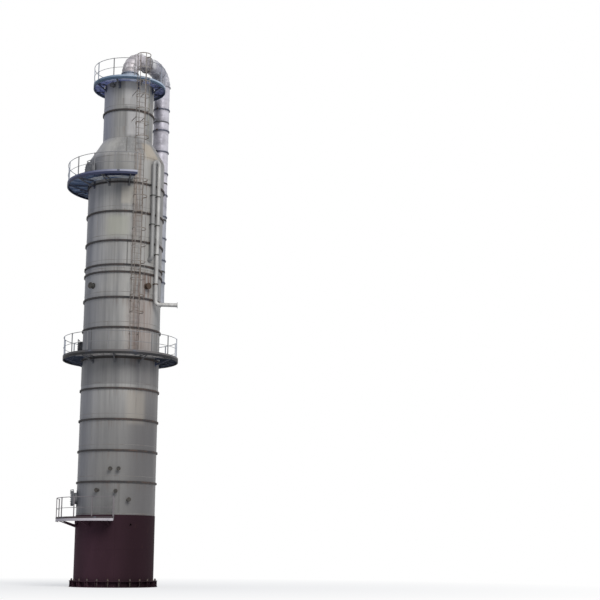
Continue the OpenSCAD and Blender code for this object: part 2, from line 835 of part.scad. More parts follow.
module top_deck_railing() {
    color("lightsteelblue") railing(upper_r, upper_r + walk_top, top_deck_z, top_rail_az, []);
}

// Ladder and cage

// A stretch of ladder between two heights, its rungs counted from z0 up to a level.
module ladder(z0, z1, rungs_to) {
    rotate([0, 0, ladder_az]) {
        for (side = [-1, 1]) translate([ladder_r - stile_w / 2, side * ladder_w / 2 - stile_t / 2, z0])
            cube([stile_w, stile_t, z1 - z0]);
        for (z = [z0 + rung_pitch / 2:rung_pitch:rungs_to]) translate([ladder_r, ladder_w / 2, z])
            rotate([90, 0, 0]) cylinder(d = rung_d, h = ladder_w, $fn = 8);
    }
}

module ladder_low() {
    color("lightsteelblue") ladder(low_deck_z, middle_deck_z, middle_deck_z - rung_d);
}

// The stiles alone pass the top deck, so that a person steps through between them.
module ladder_high() {
    color("lightsteelblue") ladder(middle_deck_z, ladder_top_z, top_deck_z);
}

strap_angles = [-96, -48, 0, 48, 96];
strap_w = 40;

// Hoops and straps of a cage between two heights.
module cage(z0, z1) {
    n = ceil((z1 - z0 - hoop_h) / hoop_pitch);
    rotate([0, 0, ladder_az]) translate([hoop_centre, 0, 0]) {
        for (i = [0:n]) translate([0, 0, z0 + i * (z1 - z0 - hoop_h) / n])
            rotate([0, 0, -hoop_half]) rotate_extrude(angle = 2 * hoop_half)
                translate([hoop_r, 0]) square([hoop_t, hoop_h]);
        for (a = strap_angles) rotate([0, 0, a])
            translate([hoop_r - hoop_t + 1, -strap_w / 2, z0]) cube([hoop_t, strap_w, z1 - z0]);
    }
}

module cage_low() {
    color("lightsteelblue") cage(low_deck_z + cage_up, middle_deck_z - 200);
}

module cage_high() {
    color("lightsteelblue") cage(middle_deck_z + cage_up, ladder_top_z);
}

// Pairs of flat bars from the stiles back to the shell.
module ladder_hold(carrier_r, z) {
    rotate([0, 0, ladder_az]) difference() {
        for (side = [-1, 1]) translate([carrier_r / 2, side * (ladder_w / 2 - stile_t) - stile_t / 2, z])
            cube([ladder_r + stile_w / 2 - carrier_r / 2, stile_t, 60]);
        translate([0, 0, z - 1]) cylinder(r = carrier_r, h = 62);
    }
}

// Holds lie between rungs, one in six on the wide shell.
low_holds = [for (i = [0:4]) low_deck_z + (3.6 + 6 * i) * rung_pitch];
high_holds = [for (i = [0:1]) middle_deck_z + (11.6 + 5 * i) * rung_pitch];

module ladder_brackets() {
    color("gray") {
        for (z = low_holds) ladder_hold(shell_r, z);
        for (z = high_holds) ladder_hold(upper_r, z);
    }
}

base_ring();
anchor_chairs();
skirt();
bottom_head();
bottom_outlet();
shell_lower();
shell_middle();
shell_cone();
shell_upper();
top_head();
rings_lower();
rings_field_joint();
rings_middle();
ring_upper();
nozzles();
nozzle_covers();
manways();
manway_covers();
vapour_nozzle();
vapour_bend_first();
vapour_bend_second();
vapour_leg();
vapour_bands();
vapour_guides();
draw_pipe();
draw_clamps();
base_deck();
base_deck_brackets();
base_deck_railing();
low_deck();
low_deck_brackets();
low_deck_railing();
middle_deck();
middle_deck_brackets();
middle_deck_railing();
top_deck();
top_deck_brackets();
top_deck_railing();
ladder_low();
ladder_high();
cage_low();
cage_high();
ladder_brackets();
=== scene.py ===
"""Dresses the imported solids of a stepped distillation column.

Adds weld seams, bolting, sheet cladding, deck framing and finishes, then a plain stage.
All lengths are metres in the solids' own frame: +Z up, the front towards -Y.
"""
import math
from collections import namedtuple

import bpy
import numpy as np
from bpy.props import FloatProperty, FloatVectorProperty, IntProperty, PointerProperty
from mathutils import Matrix


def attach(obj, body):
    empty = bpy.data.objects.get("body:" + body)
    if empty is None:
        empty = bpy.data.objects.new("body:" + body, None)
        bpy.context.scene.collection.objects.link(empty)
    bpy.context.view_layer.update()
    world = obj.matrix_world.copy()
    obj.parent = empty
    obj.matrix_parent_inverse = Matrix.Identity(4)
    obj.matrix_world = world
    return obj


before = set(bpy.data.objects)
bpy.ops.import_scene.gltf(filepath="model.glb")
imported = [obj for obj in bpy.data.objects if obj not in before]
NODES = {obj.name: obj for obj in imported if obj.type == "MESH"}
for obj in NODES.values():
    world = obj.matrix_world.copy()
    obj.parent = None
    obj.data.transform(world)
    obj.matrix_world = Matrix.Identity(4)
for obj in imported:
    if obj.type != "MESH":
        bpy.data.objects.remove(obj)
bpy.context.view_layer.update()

BODY = "root"

bl_info = {
    "name": "Distillation column",
    "version": (1, 0, 0),
    "blender": (4, 5, 0),
    "location": "3D View > Sidebar > Column",
    "description": "Weld seams, bolting, cladding, deck framing and finishes for a column",
    "category": "Object",
}

UP = np.array([0.0, 0.0, 1.0])
FULL_TURN = 2 * math.pi

# Sizes of the solids that the dressing follows: the shell, its cone and its rings.
SHELL_R = 2.100
UPPER_R = 1.400
SKIRT_R = 2.118
JOINT_Z = 16.950
CONE_Z = 23.350
CONE_LEAN = math.radians(31)
KNUCKLE_R = 0.400
CONE_FOOT_R = SHELL_R - KNUCKLE_R + KNUCKLE_R * math.cos(CONE_LEAN)
CONE_FOOT_Z = CONE_Z + KNUCKLE_R * math.sin(CONE_LEAN)
CONE_TOP_Z = CONE_FOOT_Z + (CONE_FOOT_R - UPPER_R) / math.tan(CONE_LEAN)
TOP_TANGENT_Z = CONE_TOP_Z + 3.350
RING_PITCH = 1.650
LOWER_RINGS = 5.450 + RING_PITCH * np.arange(7)
MIDDLE_RINGS = 18.500 + RING_PITCH * np.arange(3)
UPPER_RING = CONE_TOP_Z + 1.600

# Girth seams: a fixed height above the rings, and three that follow no ring.
SEAM_ABOVE_RING = 0.300
FOOT_SEAM_Z = 3.800
BELOW_JOINT_Z = 15.650
ABOVE_JOINT_Z = 17.420

# Overhead vapour line.
VAPOUR_AZ = math.radians(45)
VAPOUR_R = 0.450
VAPOUR_RUN = 2.700
BEND_R = 0.950
VAPOUR_FACE_Z = 28.850
VAPOUR_ARC_Z = VAPOUR_FACE_Z + 0.045
VAPOUR_END_Z = 15.800
BAND_ZS = 17.000 + 1.300 * np.arange(9)
CLADDING_SIDES = 64

# The draw line's legs stand at DRAW_X, DRAW_BEND_R to either side of its azimuth.
DRAW_AZ = math.radians(-44.5)
DRAW_X = 2.296
DRAW_R = 0.1095
DRAW_BEND_R = 0.205
DRAW_U_Z = 22.955
DRAW_ENTRY_Z = 17.550
DRAW_LOW_Z = 15.100
CLAMPS = ((1, 16.200), (1, 17.850), (1, 19.500), (-1, 19.500), (1, 21.150), (-1, 21.150))

# Azimuth in degrees, height, neck diameter and radius of the shell that carries each nozzle.
NOZZLES = (
    (-99, 6.120, 0.114, SHELL_R), (-88, 6.120, 0.114, SHELL_R), (-117, 5.000, 0.114, SHELL_R),
    (-91, 4.950, 0.114, SHELL_R), (-73, 4.520, 0.114, SHELL_R), (-140, 16.050, 0.219, SHELL_R),
    (-53, 16.050, 0.219, SHELL_R), (-129, 27.700, 0.168, UPPER_R), (120, 8.000, 0.219, SHELL_R),
    (60, 11.200, 0.219, SHELL_R), (150, 19.300, 0.219, SHELL_R))
NOZZLE_OUT = 0.200
MANWAYS = ((187, 4.620), (160, 12.900), (205, 22.760))
MANWAY_D = 0.610
MANWAY_OUT = 0.240

# Pitch radius of the anchors, and the lower end, upper end, radius and sides of an anchor
# bolt, its washer, its nut and its lock nut.
ANCHOR_R = 2.2298
ANCHOR_N = 24
ANCHOR_PARTS = ((0.006, 0.440, 0.026, 12), (0.330, 0.338, 0.052, 16),
                (0.338, 0.380, 0.046, 6), (0.380, 0.412, 0.046, 6))

# Platforms: radii, level, and the azimuths in degrees that plate and railing span.
Deck = namedtuple("Deck", "inner outer level first last rail_first rail_last")
DECKS = {
    "base_deck": Deck(SKIRT_R, SKIRT_R + 1.050, 3.520, 165, 268, 165, 268),
    "low_deck": Deck(SHELL_R, SHELL_R + 1.050, 12.230, 0, 360, 14, 346),
    "middle_deck": Deck(SHELL_R, SHELL_R + 1.200, 22.060, 89, 280, 89, 280),
    "top_deck": Deck(UPPER_R, UPPER_R + 0.650, 27.960, 0, 360, -64, 278),
}
DECK_T = 0.008
EDGE_T = 0.008
POST_HALF = 0.022
POST_PITCH = 1.250
JOIST_H = 0.060
JOIST_T = 0.010


# ---------------------------------------------------------------- settings

def colour(name, description, default):
    """A colour that can be changed in the sidebar."""
    return FloatVectorProperty(name=name, description=description, default=default, size=3,
                               subtype="COLOR")


def length(name, description, default, low, high):
    """A length that can be changed in the sidebar."""
    return FloatProperty(name=name, description=description, default=default, min=low,
                         max=high, unit="LENGTH", subtype="DISTANCE")


def angle(name, description, degrees):
    """An angle that can be changed in the sidebar."""
    return FloatProperty(name=name, description=description, default=math.radians(degrees),
                         unit="ROTATION", subtype="ANGLE")


class ColumnFinish(bpy.types.PropertyGroup):
    shell_dark: colour("Shell, dark", "Shell steel where it is darkest", (0.135, 0.136, 0.140))
    shell_pale: colour("Shell, pale", "Shell steel where it is palest", (0.330, 0.322, 0.308))
    rust: colour("Rust", "Rust runs and patches", (0.105, 0.066, 0.044))
    skirt: colour("Skirt", "Paint of the skirt and its base", (0.042, 0.019, 0.028))
    deck: colour("Decks", "Paint of the decks where it hasn't faded", (0.022, 0.027, 0.060))
    rail: colour("Rails", "Paint of the railings", (0.300, 0.320, 0.370))
    cladding: colour("Cladding", "Sheet over the vapour line", (0.330, 0.320, 0.365))
    wear: FloatProperty(name="Wear", description="Strength of streaks and rust",
                        subtype="FACTOR", default=0.8, min=0.0, max=1.0)


class ColumnDetail(bpy.types.PropertyGroup):
    bead_width: length("Bead width", "Width of a weld bead", 0.024, 0.008, 0.06)
    bead_height: length("Bead height", "Height of a weld bead", 0.006, 0.001, 0.02)
    joist_pitch: length("Joist pitch", "Spacing of the joists at a deck's edge", 0.60, 0.3, 1.2)
    chequer_pitch: length("Chequer pitch", "Spacing of the ridges on a deck's plate", 0.070,
                          0.05, 0.3)
    cladding_lift: length("Cladding lift", "Gap between pipe and cladding", 0.012, 0.004, 0.02)
    gore_cuts: IntProperty(name="Mitre cuts", description="Mitre joints in each clad bend",
                           default=6, min=2, max=9)


class ColumnStage(bpy.types.PropertyGroup):
    camera_y: length("Camera distance", "Camera's distance from the column's axis", 71.1, 20, 200)
    camera_z: length("Camera height", "Height of the camera above the ground", 1.6, 0.5, 40)
    heading: angle("Heading", "Turn of the camera to the right of +Y", 7.98)
    pitch: angle("Pitch", "Tilt of the camera above the level", 11.28)
    roll: angle("Roll", "Turn of the camera about its own view", 0.34)
    lens: FloatProperty(name="Lens", description="Focal length on a 36 mm sensor, in mm",
                        default=77.4, min=20, max=200)
    sky: FloatProperty(name="Sky", description="Strength of the even light", default=0.36,
                       min=0, max=2)
    sun: FloatProperty(name="Key light", description="Strength of the soft key light",
                       default=2.6, min=0, max=6)


# ---------------------------------------------------------------- shapes

def unit(v):
    """Each row divided by its own length."""
    v = np.asarray(v, float)
    return v / np.linalg.norm(v, axis=-1, keepdims=True)


def outward(azimuths):
    """Unit vectors (cos a, sin a, 0), which point away from the column's axis."""
    a = np.asarray(azimuths, float)
    return np.stack([np.cos(a), np.sin(a), np.zeros_like(a)], axis=-1)


def sideways(azimuths):
    """Unit vectors (-sin a, cos a, 0), level and along the shell's wall."""
    return np.cross(UP, outward(azimuths))


def at(azimuths, radius, height):
    """Points (r cos a, r sin a, z)."""
    radius, height = np.asarray(radius, float), np.asarray(height, float)
    return radius[..., None] * outward(azimuths) + height[..., None] * UP


def circle(u, v, steps, turn=0.0):
    """Points cos t * u + sin t * v for t in equal steps of a whole turn."""
    t = turn + np.arange(steps) * FULL_TURN / steps
    return np.cos(t)[:, None] * np.asarray(u, float) + np.sin(t)[:, None] * np.asarray(v, float)


def round_profile(radius, sides):
    """Points (r cos t, r sin t) for t in equal steps round a circle."""
    return radius * circle((1, 0), (0, 1), sides)


def box_profile(width, height):
    """The four corners of a rectangle about its middle."""
    return np.array([[-1, -1], [1, -1], [1, 1], [-1, 1]]) * np.array([width, height]) / 2


def grid_faces(rows, columns, close_rows):
    """Quads of a grid whose columns close on themselves: (i, j), (i, j+1), (i+1, j+1), (i+1, j)."""
    i, j = np.meshgrid(np.arange(rows if close_rows else rows - 1), np.arange(columns),
                       indexing="ij")
    i2, j2 = (i + 1) % rows, (j + 1) % columns
    quads = [i * columns + j, i * columns + j2, i2 * columns + j2, i2 * columns + j]
    return np.stack(quads, axis=-1).reshape(-1, 4)


def bars(start, end, side, up, profile):
    """Straight bars: P = start or end + u * side + v * up for each profile point (u, v).

    side, up and the bar's own direction form a right-handed set, so that faces point out.
    """
    start, end, side, up = np.broadcast_arrays(
        *(np.atleast_2d(np.asarray(v, float)) for v in (start, end, side, up)))
    flip = np.einsum("ij,ij->i", np.cross(side, up), end - start) < 0
    side = np.where(flip[:, None], -side, side)
    n, m = len(start), len(profile)
    across = (side[:, None, :] * profile[None, :, 0, None]
              + up[:, None, :] * profile[None, :, 1, None])
    points = np.stack([start[:, None, :] + across, end[:, None, :] + across], axis=1)
    j = np.arange(m)
    walls = np.stack([j, (j + 1) % m, (j + 1) % m + m, j + m], axis=-1)
    base = (np.arange(n) * 2 * m)[:, None, None]
    faces = (walls[None] + base).reshape(-1, 4).tolist()
    caps = np.stack([j[::-1], j + m])
    faces += (caps[None] + base).reshape(-1, m).tolist()
    return points.reshape(-1, 3), faces


def rods(start, end, radius, sides=8):
    """Round or many-sided rods: bars whose profile is a circle of the given radius."""
    start, end = np.broadcast_arrays(np.atleast_2d(start), np.atleast_2d(end))
    way = unit(end - start)
    helper = np.where(np.abs(way[:, 2:3]) > 0.9, [[1.0, 0.0, 0.0]], [UP])
    side = unit(np.cross(helper, way))
    return bars(start, end, side, np.cross(way, side), round_profile(radius, sides))


def turned(profile, first=0.0, last=FULL_TURN, steps=192):
    """A closed profile of (r, z) turned about the Z axis: P = (r cos a, r sin a, z)."""
    whole = last - first > FULL_TURN - 1e-6
    a = np.linspace(first, last, steps, endpoint=not whole)
    points = at(a[:, None], profile[None, :, 0], profile[None, :, 1])
    m = len(profile)
    faces = grid_faces(steps, m, whole).tolist()
    if not whole:
        faces += [list(range(m))[::-1], list(range((steps - 1) * m, steps * m))]
    return points.reshape(-1, 3), faces


def hoop(path, normal, radius, sides=6):
    """A round bead along a flat closed path: P = path + r (cos t * across + sin t * normal),
    where across is square to the path's own direction and to its plane's normal."""
    way = unit(np.roll(path, -1, axis=0) - np.roll(path, 1, axis=0))
    across = unit(np.cross(way, unit(normal)))
    ring = round_profile(radius, sides)
    points = (path[:, None, :] + ring[None, :, 0, None] * across[:, None, :]
              + ring[None, :, 1, None] * unit(normal))
    return points.reshape(-1, 3), grid_faces(len(path), sides, True)[:, ::-1].tolist()


def mitred_bend(centre, u, v, radius, cuts):
    """The sections of a mitred bend from the u side to the v side, as (section, point, 3).

    A section at angle b has points centre + d (cos b * u + sin b * v) + r sin t * n, where
    d = BEND_R + r cos t, divided by the cosine of half a gore at every inner mitre.
    """
    step = math.pi / 2 / cuts
    b = np.concatenate([[0.0], (np.arange(cuts) + 0.5) * step, [math.pi / 2]])
    stretch = np.where((b > 0) & (b < math.pi / 2), 1 / math.cos(step / 2), 1.0)
    ring = round_profile(radius, CLADDING_SIDES)
    d = (BEND_R + ring[:, 0])[None, :] * stretch[:, None]
    way = np.cos(b)[:, None] * u + np.sin(b)[:, None] * v
    return (centre + d[:, :, None] * way[:, None, :]
            + ring[None, :, 1, None] * np.cross(u, v)[None, None, :]), b


def double_walled(outer, inner):
    """A sheet tube between two sets of sections, with both of its ends closed."""
    sides, k = outer.shape[1], outer.shape[0] * outer.shape[1]
    faces = grid_faces(len(outer), sides, False)
    j = np.arange(sides)
    j2 = (j + 1) % sides
    rim = np.stack([j, j2, j2 + k, j + k], axis=-1)
    quads = [faces[:, ::-1], faces + k, rim, (rim + k - sides)[:, ::-1]]
    points = np.concatenate([outer.reshape(-1, 3), inner.reshape(-1, 3)])
    return points, np.concatenate(quads).tolist()


def ridges(deck, pitch):
    """The raised pattern of chequer plate: P = spot + u * across + v * up, with the spots at
    equal steps of r and a, and each ridge leaning 45 degrees to one side or the other by turns."""
    first, last = math.radians(deck.first), math.radians(deck.last)
    profile = np.array([[-0.004, -0.001], [0.004, -0.001], [0.0, 0.0025]])
    half_length = 0.015
    shapes = []
    for k, radius in enumerate(np.arange(deck.inner + 0.05, deck.outer - 0.08, pitch)):
        n = int((last - first) * radius / pitch)
        a = first + (np.arange(n) + 0.5) * (last - first) / n
        lean = math.radians(45) * (-1.0) ** (np.arange(n) + k)
        along = half_length * (np.cos(lean)[:, None] * outward(a)
                               + np.sin(lean)[:, None] * sideways(a))
        spot = at(a, radius, deck.level)
        shapes.append(bars(spot - along, spot + along, unit(np.cross(UP, along)), UP, profile))
    return shapes


def bolting(centre, axis, pitch_circle, count, grip, thread):
    """Studs on a circle about an axis, each with a nut at both ends of its grip."""
    helper = UP if abs(axis[2]) < 0.9 else np.array([1.0, 0.0, 0.0])
    u = unit(np.cross(helper, axis))
    spots = centre + pitch_circle / 2 * circle(u, np.cross(axis, u), count, math.pi / count)
    nut = 0.85 * thread
    reach = grip / 2 + nut + 0.35 * thread
    shapes = [rods(spots - reach * axis, spots + reach * axis, thread / 2)]
    for side in (-1, 1):
        seat = spots + side * grip / 2 * axis
        shapes.append(rods(seat, seat + side * nut * axis, 0.9 * thread, 6))
    return joined(shapes)


def joined(shapes):
    """Several (points, faces) shapes as one, each one's face numbers moved past the last."""
    points, faces, count = [], [], 0
    for shape_points, shape_faces in shapes:
        points.append(shape_points)
        faces += [[k + count for k in face] for face in shape_faces]
        count += len(shape_points)
    return np.concatenate(points), faces


def piece(name, shapes, material, smooth_under=35.0):
    """Puts shapes in one mesh object that rides on the column's body."""
    points, faces = joined(shapes)
    mesh = bpy.data.meshes.new(name)
    mesh.from_pydata(points.tolist(), [], faces)
    mesh.update()
    mesh.shade_smooth()
    mesh.set_sharp_from_angle(angle=math.radians(smooth_under))
    mesh.materials.append(MATERIALS[material])
    obj = bpy.data.objects.new(name, mesh)
    bpy.context.scene.collection.objects.link(obj)
    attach(obj, BODY)
    return obj


# ---------------------------------------------------------------- finishes

class Nodes:
    """A node tree, with one short method for each kind of node."""

    def __init__(self, owner):
        owner.use_nodes = True
        self.tree = owner.node_tree
        self.tree.nodes.clear()

    def put(self, socket, value):
        """Links a socket, or sets a plain value."""
        if isinstance(value, bpy.types.NodeSocket):
            self.tree.links.new(value, socket)
        elif socket.type == "RGBA" and len(value) == 3:
            socket.default_value = (*value, 1.0)
        else:
            socket.default_value = value

    def add(self, kind, sockets=None, **settings):
        """A new node with its settings, then its sockets, which go by name or by number."""
        node = self.tree.nodes.new("ShaderNode" + kind)
        for key, value in settings.items():
            setattr(node, key, value)
        for key, value in (sockets or {}).items():
            self.put(node.inputs[key], value)
        return node

    def calc(self, operation, a, b=0.0):
        return self.add("Math", {0: a, 1: b}, operation=operation).outputs[0]

    def product(self, *values):
        total = values[0]
        for value in values[1:]:
            total = self.calc("MULTIPLY", total, value)
        return total

    def span(self, value, low, high, to_low=0.0, to_high=1.0, kind="SMOOTHSTEP"):
        """Moves low..high to to_low..to_high, smoothly, and holds the ends."""
        node = self.add("MapRange", {"Value": value, "From Min": low, "From Max": high,
                                     "To Min": to_low, "To Max": to_high},
                        interpolation_type=kind)
        return node.outputs["Result"]

    def window(self, value, low, high, soft):
        """1 between low and high, 0 outside, with soft borders."""
        return self.product(self.span(value, low - soft, low + soft),
                            self.span(value, high - soft, high + soft, 1.0, 0.0))

    def blend(self, share, a, b):
        return self.add("Mix", {"Factor": share, 6: a, 7: b}, data_type="RGBA").outputs[2]

    def seen_directly(self):
        """1 for camera, glossy and transmission rays and 0 for others."""
        path = self.add("LightPath").outputs
        seen = path["Is Camera Ray"]
        for name in ("Is Glossy Ray", "Is Transmission Ray"):
            seen = self.calc("MAXIMUM", seen, path[name])
        return seen

    def end(self, kind, share, lit, shown):
        """Ends the tree in one shader that lights, and another for what sees it directly."""
        mix = self.add("MixShader", {"Fac": share, 1: lit.outputs[0], 2: shown.outputs[0]})
        self.add(kind, {"Surface": mix.outputs[0]})


class Finish(Nodes):
    """A finish built up from a first coat, with further colours laid over parts of it."""

    def __init__(self, name, roughness=0.5, metallic=0.0, sheen=0.5):
        self.material = bpy.data.materials.new(name)
        super().__init__(self.material)
        self.shader = self.add("BsdfPrincipled", {"Roughness": roughness, "Metallic": metallic,
                                                  "Specular IOR Level": sheen})
        self.add("OutputMaterial", {"Surface": self.shader.outputs["BSDF"]})
        self.place = self.add("TexCoord").outputs["Object"]
        self.x, self.y, self.z = self.add("SeparateXYZ", {"Vector": self.place}).outputs
        self.coat = None

    def noise(self, x, y, z, detail=3.0, rough=0.55, shift=(0.0, 0.0, 0.0)):
        """Noise on the solids' own axes, scaled by x, y and z and then moved by shift."""
        place = self.add("Mapping", {"Scale": (x, y, z), "Location": shift,
                                     "Vector": self.place}).outputs["Vector"]
        return self.add("TexNoise", {"Scale": 1.0, "Detail": detail, "Roughness": rough,
                                     "Vector": place}).outputs["Fac"]

    def cells(self, a, b):
        """One random number for each whole-numbered cell of two values."""
        place = self.add("CombineXYZ", {0: self.calc("FLOOR", a), 1: self.calc("FLOOR", b)})
        return self.add("TexWhiteNoise", {"Vector": place.outputs[0]},
                        noise_dimensions="2D").outputs["Value"]

    def over(self, colour, *shares):
        """Lays a colour over the coat, as far as the product of the shares goes."""
        self.coat = self.blend(self.product(*shares), self.coat, colour)

    def relief(self, height, strength, depth):
        bump = self.add("Bump", {"Strength": strength, "Distance": depth, "Height": height})
        self.put(self.shader.inputs["Normal"], bump.outputs["Normal"])

    def roughness(self, value):
        self.put(self.shader.inputs["Roughness"], value)

    def done(self):
        self.put(self.shader.inputs["Base Color"], self.coat)
        return self.material


def scaled(colour, factor):
    """A colour made lighter or darker."""
    return [c * factor for c in colour]


# Stains of the shell, with painted shadows and painted light among them: colour, first and last
# azimuth in degrees, lowest and highest level, softness of the borders in radians and metres,
# strength, and whether it runs in drips.
STAINS_AND_LIGHT = (
    # The first three are painted shadow: under the low deck, to its right, and over the lower
    # shell's right front.
    ((0.078, 0.078, 0.080), -200, -62, 10.62, 12.35, 0.02, 0.05, 0.52, False),
    ((0.080, 0.075, 0.078), -66, -5, 10.62, 12.35, 0.25, 0.10, 0.60, False),
    ((0.085, 0.080, 0.082), -72, 5, 3.60, 10.50, 0.35, 0.30, 0.55, False),
    ((0.090, 0.092, 0.100), -200, -98, 12.20, 15.60, 0.30, 0.40, 0.38, False),
    # The next two are painted light on the upper shell's front right.
    ((0.500, 0.490, 0.480), -100, -40, 26.45, 28.60, 0.06, 0.10, 0.55, False),
    ((0.560, 0.545, 0.540), -92, -52, 24.75, 26.15, 0.10, 0.12, 0.55, False),
    ((0.330, 0.245, 0.205), -84, -38, 12.35, 15.30, 0.12, 0.20, 0.30, False),
    ((0.120, 0.062, 0.044), -74, -40, 15.42, 16.72, 0.10, 0.06, 0.80, True),
    ((0.150, 0.088, 0.064), -74, -46, 12.60, 15.20, 0.14, 0.30, 0.50, True),
    ((0.330, 0.285, 0.225), -62, -36, 23.25, 24.30, 0.08, 0.15, 0.80, False),
    ((0.360, 0.385, 0.300), -38.6, -35.6, 24.70, 27.50, 0.015, 0.30, 0.70, False),
    # The next two are painted light on the front, below the middle deck and between the middle
    # rings.
    ((0.400, 0.370, 0.310), -97, -74, 20.60, 21.55, 0.03, 0.12, 0.55, False),
    ((0.330, 0.330, 0.270), -118, -84, 18.75, 19.90, 0.12, 0.20, 0.55, False),
    # Painted light: a sunlit patch on the lower shell's front right.
    ((0.320, 0.290, 0.245), -80, -50, 8.60, 10.30, 0.10, 0.25, 0.50, False),
    ((0.170, 0.120, 0.095), -79, -68, 12.30, 24.20, 0.04, 1.20, 0.70, True))
# Dark lines along upright seams: azimuth in degrees, lowest and highest level.
SEAM_LINES = (
    (-86.0, 3.80, 5.41), (-85.5, 17.19, 18.46), (-92.0, 23.50, 24.60), (-140.0, 12.10, 13.66),
    (25.0, 8.79, 10.36), (110.0, 5.49, 7.06), (170.0, 18.54, 20.11))


def shell_finish(look):
    """Bare weathered plate: uneven plates, upright streaks, drips under each ring, stains, and
    painted shade, shadows and light.
    """
    f = Finish("weathered_plate", 0.55)
    around = f.calc("ARCTAN2", f.y, f.x)
    bay = f.calc("DIVIDE", f.calc("SUBTRACT", f.z, LOWER_RINGS[0]), RING_PITCH)
    broad = f.noise(1.2, 1.2, 0.10)
    fine = f.noise(9.0, 9.0, 0.22, 4.0, 0.6)
    patch = f.noise(0.6, 0.6, 0.45, shift=(3.0, 1.0, 0.0))
    f.coat = f.blend(f.span(broad, 0.30, 0.70), look.shell_dark, look.shell_pale)
    f.over((0.380, 0.375, 0.350), f.cells(f.calc("MULTIPLY", around, 1.6), bay), 0.30)
    f.over((0.245, 0.232, 0.208), f.span(patch, 0.45, 0.75), 0.40)
    f.over((0.430, 0.420, 0.400), f.span(fine, 0.52, 0.74), 0.30)
    f.over((0.120, 0.118, 0.120), f.span(fine, 0.46, 0.30), 0.34)
    # Painted shade: the left limb darker and bluer, with a painted sky reflection, and the foot
    # darker, above all on the right, as painted shadow.
    f.over((0.120, 0.130, 0.175), f.span(f.x, -2.1, -0.7, 0.55, 0.0))
    f.over((0.125, 0.140, 0.225), f.span(f.z, 24.2, 24.8), f.span(f.x, -1.5, -0.5, 0.70, 0.0))
    f.over((0.092, 0.090, 0.090), f.span(f.z, 12.0, 7.5), f.span(f.x, -2.1, 1.2, 0.35, 0.90))
    # Drips below the rings, heavier to the right.
    dirt = f.span(f.calc("FRACT", bay), 0.58, 0.98)
    runs = f.span(f.noise(11.0, 11.0, 0.30, shift=(0.0, 5.0, 0.0)), 0.48, 0.66)
    f.over(look.rust, dirt, runs, f.span(f.x, -1.6, 1.4, 0.25, 0.85), look.wear)
    drips = f.span(f.noise(13.0, 13.0, 0.35, 4.0, shift=(7.0, 0.0, 2.0)), 0.42, 0.62)
    for stain_and_light, first, last, low, high, soft_a, soft_z, strength, runs_down in STAINS_AND_LIGHT:
        share = f.product(f.window(around, math.radians(first), math.radians(last), soft_a),
                          f.window(f.z, low, high, soft_z), strength)
        f.over(stain_and_light, share, *([drips] if runs_down else []))
    for azimuth, low, high in SEAM_LINES:
        a = math.radians(azimuth)
        f.over((0.070, 0.070, 0.066), f.window(around, a - 0.017, a + 0.017, 0.008),
               f.window(f.z, low, high, 0.03), 0.75)
    f.roughness(f.span(broad, 0.3, 0.7, 0.62, 0.48))
    f.relief(f.noise(1.6, 1.6, 1.2, 2.0, shift=(1.0, 1.0, 1.0)), 0.35, 0.03)
    return f.done()


def painted_finish(name, paint, worn, wear, roughness=0.5, scale=3.0, sheen=0.5, front=None):
    """Old paint: a slightly uneven coat, with worn or rusty spots, and faded at the front."""
    f = Finish(name, roughness, sheen=sheen)
    even = f.noise(scale * 0.4, scale * 0.4, scale * 0.12)
    f.coat = f.blend(f.span(even, 0.3, 0.7), scaled(paint, 0.78), scaled(paint, 1.22))
    spots = f.noise(scale * 3, scale * 3, scale * 1.2, 5.0, 0.7)
    f.over(worn, f.span(spots, 0.58, 0.72), wear)
    if front:
        f.over(front, f.span(f.y, -1.0, -1.8))
    f.relief(f.noise(scale * 4, scale * 4, scale * 4), 0.2, 0.004)
    return f.done()


def skirt_finish(look):
    """The skirt's dark red paint, darker to the right as painted shade, with a few rusty spots."""
    f = Finish("skirt_paint", 0.8, sheen=0.12)
    f.coat = f.blend(f.span(f.noise(0.8, 0.8, 0.25), 0.3, 0.7), look.skirt,
                     scaled(look.skirt, 1.4))
    # Painted shade: darker towards the right.
    f.over((0.014, 0.005, 0.008), f.span(f.x, -2.0, 1.2, 0.0, 0.92))
    spots = f.noise(6.0, 6.0, 2.4, 5.0, 0.7)
    f.over((0.045, 0.022, 0.018), f.span(spots, 0.60, 0.72), look.wear, 0.6)
    f.relief(f.noise(8.0, 8.0, 8.0), 0.2, 0.004)
    return f.done()


# Paint of each deck, faded, with painted light: its toe plate at the left, darker as painted shade,
# and at the right, paler as a painted highlight, the edge below that, the depth of the dark lip
# behind the edge, and the plate's underside at the front, paler in patches as painted light, and
# elsewhere.
FadedAndLit = namedtuple("FadedAndLit", "left right edge lip front rest")
FADED_AND_LIT = {
    "base_deck": FadedAndLit((0.040, 0.028, 0.031), (0.040, 0.028, 0.031), (0.440, 0.410, 0.435), 0.0,
                       (0.120, 0.110, 0.120), (0.100, 0.105, 0.130)),
    "low_deck": FadedAndLit((0.075, 0.073, 0.074), (0.125, 0.116, 0.114), (0.012, 0.012, 0.013), 0.0,
                      (0.500, 0.480, 0.460), (0.060, 0.074, 0.110)),
    "middle_deck": FadedAndLit((0.085, 0.095, 0.170), (0.360, 0.370, 0.440), (0.025, 0.030, 0.065),
                         0.62, (0.480, 0.500, 0.520), (0.120, 0.165, 0.265)),
    "top_deck": FadedAndLit((0.135, 0.200, 0.285), (0.375, 0.450, 0.550), (0.040, 0.070, 0.110), 0.0,
                      (0.740, 0.780, 0.860), (0.290, 0.330, 0.580)),
}


